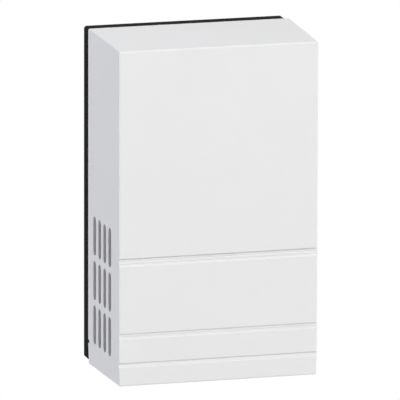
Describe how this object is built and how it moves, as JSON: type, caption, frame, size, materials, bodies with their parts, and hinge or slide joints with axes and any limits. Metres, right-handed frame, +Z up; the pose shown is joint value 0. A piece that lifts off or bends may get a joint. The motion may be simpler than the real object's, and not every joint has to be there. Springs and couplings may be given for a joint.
{
  "type": "doorbell chime box",
  "caption": "Wall-mounted two-note doorbell chime: a white vented plastic cover over a black base holding tone bars, solenoid strikers and terminals.",
  "frame": {"origin": "centre of the base's flat back face, on the wall", "axes": "+X to the right as seen from the room, +Y into the wall, +Z up"},
  "size_m": [0.116, 0.0743, 0.1904],
  "materials": {
    "white_plastic": "moulded, fine spark-eroded texture, satin",
    "black_plastic": "moulded, fine texture, satin",
    "bar_steel": "rolled and brushed, plated",
    "rubber": "moulded, matte",
    "spring_steel": "drawn, bright",
    "plated_steel": "zinc plated, satin",
    "bobbin_nylon": "moulded, natural",
    "copper_wire": "enamelled copper, fine layers of wire",
    "core_steel": "turned",
    "striker_nylon": "moulded, natural",
    "felt": "pressed wool felt",
    "terminal_brass": "stamped",
    "red_insulation": "extruded, satin",
    "white_insulation": "extruded, satin",
    "blue_insulation": "extruded, satin"
  },
  "bodies": {
    "base": {"back_base": "black_plastic", "high_tone_bar": "bar_steel", "low_tone_bar": "bar_steel", "high_bar_upper_grommet": "rubber", "high_bar_lower_grommet": "rubber", "low_bar_upper_grommet": "rubber", "low_bar_lower_grommet": "rubber", "bar_clips": "spring_steel", "front_yoke": "plated_steel", "rear_yoke": "plated_steel", "front_bobbin": "bobbin_nylon", "rear_bobbin": "bobbin_nylon", "front_winding": "copper_wire", "rear_winding": "copper_wire", "front_return_spring": "spring_steel", "rear_return_spring": "spring_steel", "rear_stop_pad": "felt", "yoke_screws": "plated_steel", "front_terminal": "terminal_brass", "transformer_terminal": "terminal_brass", "rear_terminal": "terminal_brass", "terminal_washers": "terminal_brass", "terminal_screws": "terminal_brass", "front_coil_lead": "red_insulation", "front_common_lead": "white_insulation", "rear_coil_lead": "blue_insulation", "rear_common_lead": "white_insulation"},
    "cover": {"cover": "white_plastic"},
    "front_rod": {"front_plunger": "core_steel", "front_left_striker": "striker_nylon", "front_right_striker": "striker_nylon", "front_spring_clip": "spring_steel"},
    "rear_rod": {"rear_plunger": "core_steel", "rear_striker": "striker_nylon", "rear_spring_clip": "spring_steel"}
  },
  "joints": [
    {"name": "cover_pull", "type": "slide", "parent": "base", "child": "cover", "axis": [0, -1, 0], "range_m": [0, 0.12]},
    {"name": "front_strike", "type": "slide", "parent": "base", "child": "front_rod", "axis": [-1, 0, 0], "range_m": [-0.002, 0.008], "stiffness_N_per_m": 60, "deforming": ["front_return_spring"]},
    {"name": "rear_strike", "type": "slide", "parent": "base", "child": "rear_rod", "axis": [-1, 0, 0], "range_m": [0, 0.008], "stiffness_N_per_m": 60, "springref_m": -0.001, "deforming": ["rear_return_spring"]}
  ]
}
